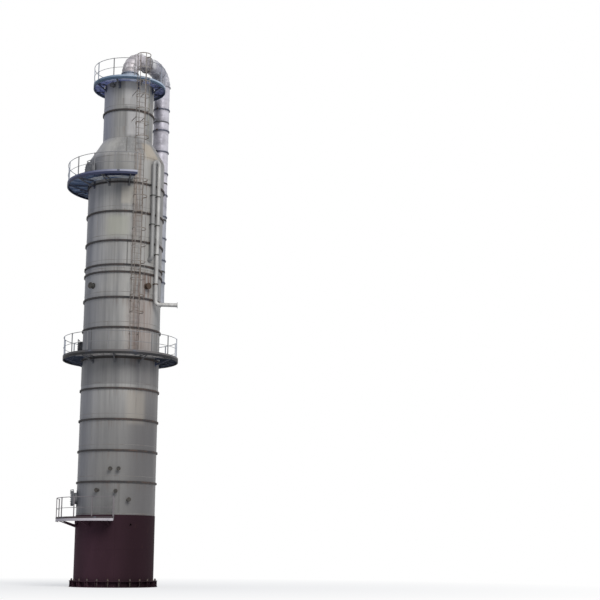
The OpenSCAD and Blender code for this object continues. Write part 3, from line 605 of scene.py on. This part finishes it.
def deck_finish(name, look):
    """Deck paint, faded unevenly on the toe plate, the edge and the plate's underside, with painted
    shade and light.
    """
    outer, level, faded = DECKS[name].outer, DECKS[name].level, FADED_AND_LIT[name]
    f = Finish(name + "_paint", 0.65, sheen=0.3)
    radius = f.calc("SQRT", f.calc("ADD", f.product(f.x, f.x), f.product(f.y, f.y)))
    even = f.noise(1.2, 1.2, 0.5)
    patches = f.noise(0.9, 0.9, 0.9, 2.0, shift=(2.0, 0.0, 0.0))
    # Painted shade at the toe plate's left, a painted highlight at its right.
    toe = f.blend(f.span(f.x, -0.75 * outer, 0.1 * outer), faded.left, faded.right)
    face = f.blend(f.span(f.z, level - 0.004, level + 0.004), faded.edge, toe)
    f.coat = f.blend(f.span(f.x, 0.4 * outer, 0.7 * outer), faded.rest, scaled(faded.rest, 0.65))
    lip_r = outer - faded.lip - 0.050
    # Pale patches under the front of the plate are painted light.
    f.over(faded.front, f.span(f.y, -0.9, -1.8), f.span(patches, 0.30, 0.42),
           f.span(radius, lip_r, lip_r - 0.020))
    if faded.lip:
        lip = f.blend(f.span(f.x, -2.2, -1.2), faded.rest, faded.edge)
        f.over(lip, f.span(radius, lip_r - 0.020, lip_r))
    # The walked side is duller, with its raised ridges worn bare.
    walked = f.blend(f.span(even, 0.35, 0.65), (0.050, 0.054, 0.066), (0.085, 0.087, 0.094))
    walked = f.blend(f.span(f.z, level + 0.0005, level + 0.0020), walked, (0.170, 0.170, 0.172))
    f.over(walked, f.span(f.z, level - 0.004, level - 0.002))
    f.over(face, f.span(radius, outer - 0.060, outer - 0.045))
    f.over(look.deck, f.span(even, 0.25, 0.55, 0.25, 0.0))
    return f.done()


def rusted_finish(name, dark, rust, scale=5.0, roughness=0.75):
    """Bare rolled steel gone brown, in blotches."""
    f = Finish(name, roughness)
    f.coat = f.blend(f.span(f.noise(scale, scale, scale, 5.0, 0.65), 0.38, 0.66), dark, rust)
    f.relief(f.noise(scale * 6, scale * 6, scale * 6), 0.35, 0.003)
    return f.done()


def flange_finish(look):
    """Flanges and covers: dull dark steel, gone red-brown about the joint on the right."""
    f = Finish("flange_steel", 0.8, sheen=0.3)
    blotch = f.noise(5.0, 5.0, 5.0, 5.0, 0.65)
    f.coat = f.blend(f.span(blotch, 0.38, 0.66), (0.036, 0.037, 0.036), (0.078, 0.070, 0.060))
    f.over((0.105, 0.105, 0.112), f.span(f.z, 22.0, 26.0))
    f.over(scaled(look.rust, 0.6), f.window(f.z, 15.4, 16.7, 0.3), f.span(f.x, 0.0, 0.8),
           f.span(blotch, 0.30, 0.55, 0.6, 1.0))
    return f.done()


def ring_finish():
    """The stiffening rings: nearly black, browner to the right."""
    f = Finish("ring_steel", 0.8)
    rust = f.product(f.span(f.noise(4.0, 4.0, 4.0, 5.0, 0.65), 0.35, 0.65),
                     f.span(f.x, -1.6, 1.2, 0.25, 1.0))
    f.coat = f.blend(rust, (0.021, 0.021, 0.023), (0.060, 0.038, 0.029))
    return f.done()


def cladding_finish(look):
    """Thin dull sheet, crumpled a little: pink to grey over the first bend, stained brown where the
    bends meet, bluer beyond, with dark spots, a few bright spots as painted glints, and a painted
    highlight on top near the second bend."""
    f = Finish("cladding_sheet", 0.5, 0.25)
    away = f.calc("MULTIPLY", f.calc("ADD", f.x, f.y), math.cos(VAPOUR_AZ))
    patch = f.noise(1.7, 1.7, 2.2, 3.0, 0.6)
    spots = f.noise(3.8, 3.8, 3.8, 3.0, 0.6, (2.0, 0.0, 0.0))
    high = f.span(f.z, 28.6, 29.0)
    last = f.span(away, 1.60, 1.95)
    f.coat = f.blend(f.span(patch, 0.32, 0.68), scaled(look.cladding, 0.72),
                     scaled(look.cladding, 1.35))
    f.over((0.640, 0.620, 0.660), f.span(f.x, 2.00, 2.25), f.span(f.z, 21.5, 23.0, 0.05, 0.60))
    f.over((0.255, 0.285, 0.305), f.span(f.z, 22.5, 20.5, 0.0, 0.55))
    f.over((0.400, 0.370, 0.375), high, f.span(away, 0.85, 1.15, 1.0, 0.0), 0.65)
    f.over((0.185, 0.180, 0.195), high, f.span(f.x, -0.15, -0.40, 0.0, 0.55))
    f.over((0.115, 0.100, 0.098), high, f.window(away, 0.95, 1.55, 0.30),
           f.span(patch, 0.25, 0.60, 0.35, 0.85))
    f.over((0.200, 0.215, 0.245), high, last, 0.55)
    # Painted highlight on top near the second bend.
    f.over((0.560, 0.560, 0.570), f.span(f.z, 29.45, 29.70), f.window(away, 1.30, 1.70, 0.20),
           f.span(patch, 0.20, 0.50, 0.60, 1.0))
    f.over((0.100, 0.092, 0.092), high, f.span(spots, 0.56, 0.66), 0.60)
    # Painted glints: a few bright spots.
    f.over((0.720, 0.700, 0.720), high, f.span(spots, 0.42, 0.34), 0.70)
    f.over((0.160, 0.140, 0.135), f.span(spots, 0.60, 0.72), 0.25)
    f.roughness(f.span(patch, 0.3, 0.7, 0.60, 0.42))
    f.relief(f.noise(3.0, 3.0, 2.6), 0.7, 0.035)
    return f.done()


def bright_finish():
    """Weathered galvanised pipe with a faint spangle, duller on the leg nearer the ladder."""
    f = Finish("galvanised_pipe", 0.5, 0.15)
    f.coat = f.blend(f.span(f.noise(5.0, 5.0, 1.2), 0.35, 0.65), (0.320, 0.315, 0.305),
                     (0.440, 0.435, 0.420))
    across = f.calc("ADD", f.product(f.x, math.sin(-DRAW_AZ)), f.product(f.y, math.cos(DRAW_AZ)))
    f.over((0.190, 0.190, 0.188), f.span(across, 0.10, -0.10, 0.0, 0.75))
    return f.done()


MATERIALS = {}


def make_finishes(look):
    """Every finish by its short name: those made for one kind of piece, then plain paints."""
    MATERIALS.update(shell=shell_finish(look), skirt=skirt_finish(look), ring=ring_finish(),
                     flange=flange_finish(look), cladding=cladding_finish(look),
                     bright=bright_finish())
    MATERIALS.update({name: deck_finish(name, look) for name in DECKS})
    # Name, dark colour, rust, size of the blotches and roughness.
    for name, *recipe in (
            ("ladder_steel", (0.230, 0.215, 0.200), (0.120, 0.085, 0.062), 2.5, 0.7),
            ("weld_metal", (0.200, 0.195, 0.188), (0.140, 0.118, 0.100), 2.0),
            ("bolt_steel", (0.060, 0.055, 0.052), (0.095, 0.060, 0.042), 9.0)):
        MATERIALS[name.split("_")[0]] = rusted_finish(name, *recipe)
    # Name, paint, colour of the worn spots, their share, roughness, scale, sheen and front.
    worn = look.wear
    for name, *recipe in (
            ("band_paint", (0.058, 0.064, 0.098), (0.100, 0.070, 0.050), 0.4, 0.6),
            ("collar_paint", (0.290, 0.335, 0.420), (0.200, 0.160, 0.140), 0.4),
            ("bracket_paint", (0.050, 0.058, 0.092), (0.070, 0.056, 0.052), 0.5 * worn, 0.65,
             3.0, 0.3, (0.112, 0.113, 0.118)),
            ("splice_paint", (0.095, 0.100, 0.120), (0.070, 0.056, 0.052), worn, 0.65, 3.0, 0.3),
            ("manway_paint", (0.125, 0.128, 0.138), (0.075, 0.056, 0.045), worn, 0.65, 2.0, 0.3),
            ("base_rail_paint", (0.150, 0.136, 0.142), (0.060, 0.036, 0.034), worn, 0.65, 2.0),
            ("rail_paint", look.rail, (0.200, 0.150, 0.120), 0.5 * worn, 0.5, 3.0, 0.5,
             (0.180, 0.180, 0.185))):
        MATERIALS[name.removesuffix("_paint")] = painted_finish(name, *recipe)


def dress(material, *names):
    """Gives CAD nodes a finish in all their slots."""
    for name in names:
        for slot in NODES[name].material_slots:
            slot.material = MATERIALS[material]


# ---------------------------------------------------------------- operators

class COLUMN_OT_finishes(bpy.types.Operator):
    """Makes the finishes and puts them on the solids"""
    bl_idname = "column.finishes"
    bl_label = "Finishes"

    def execute(self, context):
        make_finishes(context.scene.column_finish)
        dress("shell", "shell_lower", "shell_middle", "shell_cone", "shell_upper", "top_head",
              "bottom_head")
        dress("skirt", "skirt", "base_ring", "anchor_chairs", "base_deck_brackets")
        dress("ring", "rings_lower", "rings_field_joint", "rings_middle", "ring_upper")
        dress("band", "vapour_bands")
        dress("flange", "nozzles", "nozzle_covers", "bottom_outlet", "vapour_guides",
              "draw_clamps")
        dress("manway", "manways", "manway_covers")
        dress("cladding", "vapour_bend_first", "vapour_bend_second", "vapour_leg")
        dress("collar", "vapour_nozzle")
        dress("bright", "draw_pipe")
        for name in DECKS:
            dress(name, name)
        dress("bracket", "low_deck_brackets", "middle_deck_brackets", "top_deck_brackets")
        dress("base_rail", "base_deck_railing")
        dress("rail", "low_deck_railing", "middle_deck_railing", "top_deck_railing")
        dress("ladder", "ladder_low", "ladder_high", "cage_low", "cage_high", "ladder_brackets")
        return {"FINISHED"}


def upright_seams(azimuths, radius, levels, bead):
    """One upright bead in each course between neighbouring levels, at its own azimuth."""
    low, high = np.array(levels[:-1]), np.array(levels[1:])
    return bars(at(azimuths, radius, low), at(azimuths, radius, high), outward(azimuths),
                sideways(azimuths), bead)


class COLUMN_OT_weld_seams(bpy.types.Operator):
    """Lays the seams between the plates of the shell and of the skirt"""
    bl_idname = "column.weld_seams"
    bl_label = "Weld seams"

    def execute(self, context):
        size = context.scene.column_detail
        w, h = size.bead_width / 2, size.bead_height
        bead = np.array([[-0.004, -w], [0.6 * h, -0.6 * w], [h, 0], [0.6 * h, 0.6 * w],
                         [-0.004, w]])
        lower = [FOOT_SEAM_Z, *(LOWER_RINGS[:-1] + SEAM_ABOVE_RING), BELOW_JOINT_Z, JOINT_Z,
                 ABOVE_JOINT_Z, *(MIDDLE_RINGS + SEAM_ABOVE_RING), CONE_Z]
        upper = [CONE_TOP_Z, UPPER_RING + SEAM_ABOVE_RING, TOP_TANGENT_Z]
        shapes = [turned(bead + [radius, level]) for radius, levels
                  in ((SHELL_R, lower), (UPPER_R, upper)) for level in levels]
        # Upright seams: two to a course of the shell, turned from course to course.
        a = np.radians(-86.0 + 67.0 * np.arange(len(lower) - 1))
        a[lower.index(ABOVE_JOINT_Z)] = math.radians(-85.5)
        shapes += [upright_seams(a + half, SHELL_R, lower, bead) for half in (0.0, math.pi)]
        a = np.radians(-97.0 + 75.0 * np.arange(len(upper) - 1))
        shapes.append(upright_seams(a, UPPER_R, upper, bead))
        # Four seams up the cone.
        a = np.radians([-92.0, -2.0, 88.0, 178.0])
        tilted = outward(a) * math.cos(CONE_LEAN) + math.sin(CONE_LEAN) * UP
        shapes.append(bars(at(a, CONE_FOOT_R, CONE_FOOT_Z), at(a, UPPER_R, CONE_TOP_Z), tilted,
                           sideways(a), bead))
        piece("weld_seams", shapes, "weld")
        shapes = [upright_seams(np.radians([azimuth]), SKIRT_R, (0.340, 3.700), bead)
                  for azimuth in (30.0, 150.0, 270.0)]
        shapes.append(turned(bead * [1, 0.7] + [SKIRT_R, 1.950]))
        piece("skirt_seams", shapes, "skirt")
        return {"FINISHED"}


class COLUMN_OT_vapour_cladding(bpy.types.Operator):
    """Wraps the vapour line's bends in gores and its leg in lapped sheets"""
    bl_idname = "column.vapour_cladding"
    bl_label = "Vapour line cladding"

    def execute(self, context):
        size = context.scene.column_detail
        away = outward(VAPOUR_AZ)
        radius = VAPOUR_R + size.cladding_lift
        shapes, beads = [], []
        for place, u, v in ((BEND_R, -away, UP), (VAPOUR_RUN - BEND_R, away, UP)):
            centre = away * place + UP * VAPOUR_ARC_Z
            outer, b = mitred_bend(centre, u, v, radius, size.gore_cuts)
            inner, b = mitred_bend(centre, u, v, radius - 0.004, size.gore_cuts)
            shapes.append(double_walled(outer, inner))
            beads += [hoop(section, -math.sin(angle) * u + math.cos(angle) * v, 0.009)
                      for section, angle in zip(outer[1:-1], b[1:-1])]
        piece("vapour_bend_cladding", shapes, "cladding", 12.0)
        # Lapped sheets of the leg: a rolled bead above and below each band and at mid-sheet.
        stand = away * VAPOUR_RUN
        wrap = stand + (VAPOUR_R + 0.001) * circle(away, np.cross(UP, away), CLADDING_SIDES)
        for z in np.concatenate([BAND_ZS - 0.09, BAND_ZS + 0.09, BAND_ZS + 0.65]):
            if VAPOUR_END_Z + 0.1 < z < VAPOUR_FACE_Z - 0.1:
                beads.append(hoop(wrap + UP * z, UP, 0.007))
        piece("vapour_cladding_beads", beads, "cladding")
        # Each band is closed by a lug on either side.
        shapes = []
        for azimuth in np.radians([-120.0, 60.0]):
            spots = stand + at(azimuth, VAPOUR_R + 0.05, BAND_ZS)
            along = 0.06 * sideways(azimuth)
            shapes.append(bars(spots - along, spots + along, outward(azimuth), UP,
                               box_profile(0.03, 0.1)))
        piece("vapour_band_lugs", shapes, "ring")
        return {"FINISHED"}


def flange_size(d):
    """Diameter and thickness of a flange on a neck of diameter d."""
    return d * 1.18 + 0.085, 0.016 + d / 22


def manway_fitting(azimuth, level):
    """A manway's studs, its hinge post with arm and lugs, and the cover's handle."""
    wide, thick = flange_size(MANWAY_D)
    out, side = outward(azimuth), sideways(azimuth)
    face = at(azimuth, SHELL_R + MANWAY_OUT, level)
    front = face + out * (thick + 0.05)
    post = face + side * (wide / 2 + 0.06)
    grip = front - 0.16 * UP
    shapes = [bolting(face, out, wide - 0.070, 20, 2 * thick, 0.028),
              rods(post - 0.34 * UP, post + 0.46 * UP, 0.024, 12),
              rods(post + 0.44 * UP, front + 0.44 * UP, 0.022, 12),
              rods(front + 0.46 * UP, front + 0.20 * UP, 0.018),
              rods(grip - side * 0.12, grip + side * 0.12, 0.010)]
    for height in (-0.25, 0.25):
        lug = at(azimuth, SHELL_R + 0.13, level + height) + side * (wide / 2 - 0.06)
        shapes.append(bars(post + height * UP, lug, UP, out, box_profile(0.05, 0.014)))
    for end in (-0.12, 0.12):
        foot = grip + side * end
        shapes.append(rods(foot, foot - out * 0.06, 0.010))
    return shapes


class COLUMN_OT_bolting(bpy.types.Operator):
    """Fits the studs and nuts of every closed flange joint and of the anchor chairs"""
    bl_idname = "column.bolting"
    bl_label = "Bolting"

    def execute(self, context):
        shapes = []
        for azimuth, level, d, carrier in NOZZLES:
            a = math.radians(azimuth)
            wide, thick = flange_size(d)
            shapes.append(bolting(at(a, carrier + NOZZLE_OUT, level), outward(a), wide - 0.050,
                                  8, 2 * thick, 0.020))
        piece("nozzle_bolts", shapes, "bolt")
        shapes = []
        for azimuth, level in MANWAYS:
            shapes += manway_fitting(math.radians(azimuth), level)
        piece("manway_fittings", shapes, "manway")
        # Joints of the vapour line: at the nozzle, between the bends and above the leg.
        away = outward(VAPOUR_AZ)
        shapes = [bolting(place * away + level * UP, axis, 0.958, 32, 0.044, 0.016)
                  for place, level, axis in (
                      (0.0, VAPOUR_FACE_Z, UP), (VAPOUR_RUN, VAPOUR_FACE_Z, UP),
                      (VAPOUR_RUN / 2, VAPOUR_ARC_Z + BEND_R, away))]
        piece("vapour_joint_bolts", shapes, "bolt")
        a = (np.arange(ANCHOR_N) + 0.5) * FULL_TURN / ANCHOR_N
        shapes = [rods(at(a, ANCHOR_R, low), at(a, ANCHOR_R, high), radius, sides)
                  for low, high, radius, sides in ANCHOR_PARTS]
        piece("anchor_bolts", shapes, "bolt")
        return {"FINISHED"}


class COLUMN_OT_draw_line(bpy.types.Operator):
    """Lays the draw line's girth welds and fits the bolted ears of its clamps"""
    bl_idname = "column.draw_line"
    bl_label = "Draw line"

    def execute(self, context):
        out, across, run = outward(DRAW_AZ), sideways(DRAW_AZ), np.array([1.0, 0.0, 0.0])
        axis = at(DRAW_AZ, DRAW_X, 0.0)
        low = axis + DRAW_BEND_R * across + DRAW_LOW_Z * UP
        # Centre and direction of each weld: on both legs, on the U and on the level run.
        welds = [(axis + leg * DRAW_BEND_R * across + z * UP, UP) for leg, z in (
            (1, DRAW_LOW_Z + DRAW_BEND_R), (1, 18.600), (1, DRAW_U_Z),
            (-1, DRAW_ENTRY_Z + DRAW_BEND_R), (-1, 20.300), (-1, DRAW_U_Z))]
        welds += [(axis + (DRAW_U_Z + DRAW_BEND_R) * UP, across),
                  (low + DRAW_BEND_R * run, run), (low + (DRAW_BEND_R + 0.900) * run, run)]
        beads = []
        for centre, way in welds:
            side = out if way is UP else UP
            wrap = (DRAW_R + 0.001) * circle(side, np.cross(way, side), 32)
            beads.append(hoop(centre + wrap, way, 0.006))
        piece("draw_welds", beads, "bright")
        # An ear to either side of each clamp, with a bolt head on both of its faces.
        shapes = []
        for leg, z in CLAMPS:
            for end in (-1, 1):
                ear = (axis + (leg * DRAW_BEND_R + end * (DRAW_R + 0.028)) * across
                       + (z + 0.030) * UP)
                half = 0.014 * out
                shapes.append(bars(ear - half, ear + half, across, UP, box_profile(0.044, 0.056)))
                shapes += [rods(ear + way * half, ear + way * (half + 0.012 * out), 0.011, 6)
                           for way in (-1, 1)]
        piece("draw_clamp_ears", shapes, "flange")
        return {"FINISHED"}


def joists(deck, pitch):
    """Radial flats under a deck's plate, and two rings of flat that tie them."""
    first, last = math.radians(deck.first), math.radians(deck.last)
    n = max(2, round((last - first) * deck.outer / pitch))
    a = first + (np.arange(n) + 0.5) * (last - first) / n
    z = deck.level - DECK_T - JOIST_H / 2
    flat = box_profile(JOIST_T, JOIST_H)
    shapes = [bars(at(a, deck.inner + 0.060, z), at(a, deck.outer - 0.066, z), sideways(a), UP,
                   flat)]
    steps = max(24, int((last - first) / math.pi * 96))
    for radius in (deck.inner + 0.070, (deck.inner + deck.outer) / 2):
        shapes.append(turned(flat + [radius, z], first, last, steps))
    return shapes


def post_places(deck):
    """Azimuths of a railing's posts and the radius on which they stand."""
    radius = deck.outer - EDGE_T - POST_HALF
    half = math.asin(POST_HALF / radius)
    first, last = math.radians(deck.rail_first) + half, math.radians(deck.rail_last) - half
    n = math.ceil((last - first) * radius / POST_PITCH)
    return first + np.arange(n + 1) * (last - first) / n, radius


class COLUMN_OT_deck_details(bpy.types.Operator):
    """Frames and chequers the decks, and fits plates at the posts' feet and on the toe plates"""
    bl_idname = "column.deck_details"
    bl_label = "Deck details"

    def execute(self, context):
        size = context.scene.column_detail
        feet, splices = [], []
        for name, deck in DECKS.items():
            piece(name + "_joists", joists(deck, size.joist_pitch), name)
            piece(name + "_chequer", ridges(deck, size.chequer_pitch), name)
            a, radius = post_places(deck)
            foot = at(a, radius - 0.006, deck.level)
            feet.append(bars(foot, foot + 0.010 * UP, outward(a), sideways(a),
                             box_profile(0.057, 0.110)))
            for side in (-1, 1):
                spot = foot + side * 0.042 * sideways(a)
                feet.append(rods(spot + 0.010 * UP, spot + 0.021 * UP, 0.011, 6))
            # Splice plates that join the toe plates on the outside.
            a = a[::2] + 0.06
            a = a[a < math.radians(deck.rail_last) - 0.05]
            spot, along = at(a, deck.outer + 0.004, deck.level + 0.05), 0.07 * sideways(a)
            splices.append(bars(spot - along, spot + along, outward(a), UP,
                                box_profile(0.008, 0.075)))
        piece("toe_splices", splices, "splice")
        piece("post_feet", feet, "rail")
        return {"FINISHED"}


def soft_sky(strength):
    """Even light for the object, plain white for what looks at the sky."""
    world = bpy.data.worlds.new("soft_sky")
    n = Nodes(world)
    even = n.add("Background", {"Color": (0.84, 0.93, 1.14), "Strength": strength})
    white = n.add("Background", {"Color": (1.0, 1.0, 1.0)})
    n.end("OutputWorld", n.seen_directly(), even, white)
    return world


def floor_finish():
    """A pale floor that keeps shadows and shows nearly white to the camera."""
    material = bpy.data.materials.new("pale_floor")
    n = Nodes(material)
    place = n.add("TexCoord").outputs["Object"]
    reach = n.add("VectorMath", {0: place}, operation="LENGTH").outputs["Value"]
    # Farther out the floor turns quite white, so that it has no horizon. Inside the skirt it
    # keeps its own shade.
    share = n.product(n.seen_directly(), n.span(reach, 5.0, 30.0, 0.55, 1.0, "LINEAR"),
                      n.span(reach, SKIRT_R - 0.05, SKIRT_R, 0.0, 1.0, "LINEAR"))
    matt = n.add("BsdfDiffuse", {"Color": (0.80, 0.80, 0.80)})
    glow = n.add("Emission", {"Color": (1.0, 1.0, 1.0)})
    n.end("OutputMaterial", share, matt, glow)
    return material


class COLUMN_OT_stage(bpy.types.Operator):
    """Sets the floor, the light and the camera"""
    bl_idname = "column.stage"
    bl_label = "Stage"

    def execute(self, context):
        stage, scene = context.scene.column_stage, context.scene
        mesh = bpy.data.meshes.new("floor")
        mesh.from_pydata((box_profile(800, 800) @ [[1, 0, 0], [0, 1, 0]]).tolist(), [],
                         [[0, 1, 2, 3]])
        mesh.materials.append(floor_finish())
        floor = bpy.data.objects.new("floor", mesh)
        floor.location.z = -0.002
        scene.collection.objects.link(floor)
        scene.world = soft_sky(stage.sky)
        # The key light comes from the front, to the right and above.
        lamp = bpy.data.lights.new("key", "SUN")
        lamp.energy = stage.sun
        lamp.angle = math.radians(35)
        lamp.color = (1.0, 0.975, 0.93)
        key = bpy.data.objects.new("key", lamp)
        key.rotation_euler = (math.radians(52), 0.0, math.radians(20))
        scene.collection.objects.link(key)
        camera = bpy.data.cameras.new("camera")
        camera.sensor_width = 36.0
        camera.lens = stage.lens
        camera.clip_end = 1000.0
        eye = bpy.data.objects.new("camera", camera)
        eye.location = (0.0, -stage.camera_y, stage.camera_z)
        eye.rotation_euler = (Matrix.Rotation(-stage.heading, 3, "Z")
                              @ Matrix.Rotation(math.pi / 2 + stage.pitch, 3, "X")
                              @ Matrix.Rotation(stage.roll, 3, "Z")).to_euler("XYZ")
        scene.collection.objects.link(eye)
        scene.camera = eye
        scene.view_settings.view_transform = "Standard"
        return {"FINISHED"}


class COLUMN_PT_panel(bpy.types.Panel):
    bl_idname = "COLUMN_PT_panel"
    bl_label = "Distillation column"
    bl_space_type = "VIEW_3D"
    bl_region_type = "UI"
    bl_category = "Column"

    def draw(self, context):
        for name in SETTINGS:
            group, box = getattr(context.scene, name), self.layout.box()
            for key in group.bl_rna.properties.keys():
                if key not in ("rna_type", "name"):
                    box.prop(group, key)
        for operator in OPERATORS:
            self.layout.operator(operator.bl_idname)


SETTINGS = {"column_finish": ColumnFinish, "column_detail": ColumnDetail,
            "column_stage": ColumnStage}
OPERATORS = (COLUMN_OT_finishes, COLUMN_OT_weld_seams, COLUMN_OT_vapour_cladding,
             COLUMN_OT_bolting, COLUMN_OT_draw_line, COLUMN_OT_deck_details, COLUMN_OT_stage)
CLASSES = (*SETTINGS.values(), *OPERATORS, COLUMN_PT_panel)


def register():
    for cls in CLASSES:
        bpy.utils.register_class(cls)
    for name, group in SETTINGS.items():
        setattr(bpy.types.Scene, name, PointerProperty(type=group))


def unregister():
    for name in SETTINGS:
        delattr(bpy.types.Scene, name)
    for cls in reversed(CLASSES):
        bpy.utils.unregister_class(cls)


def main():
    register()
    bpy.ops.column.finishes()
    bpy.ops.column.weld_seams()
    bpy.ops.column.vapour_cladding()
    bpy.ops.column.bolting()
    bpy.ops.column.draw_line()
    bpy.ops.column.deck_details()
    bpy.ops.column.stage()


if __name__ == "__main__":
    main()
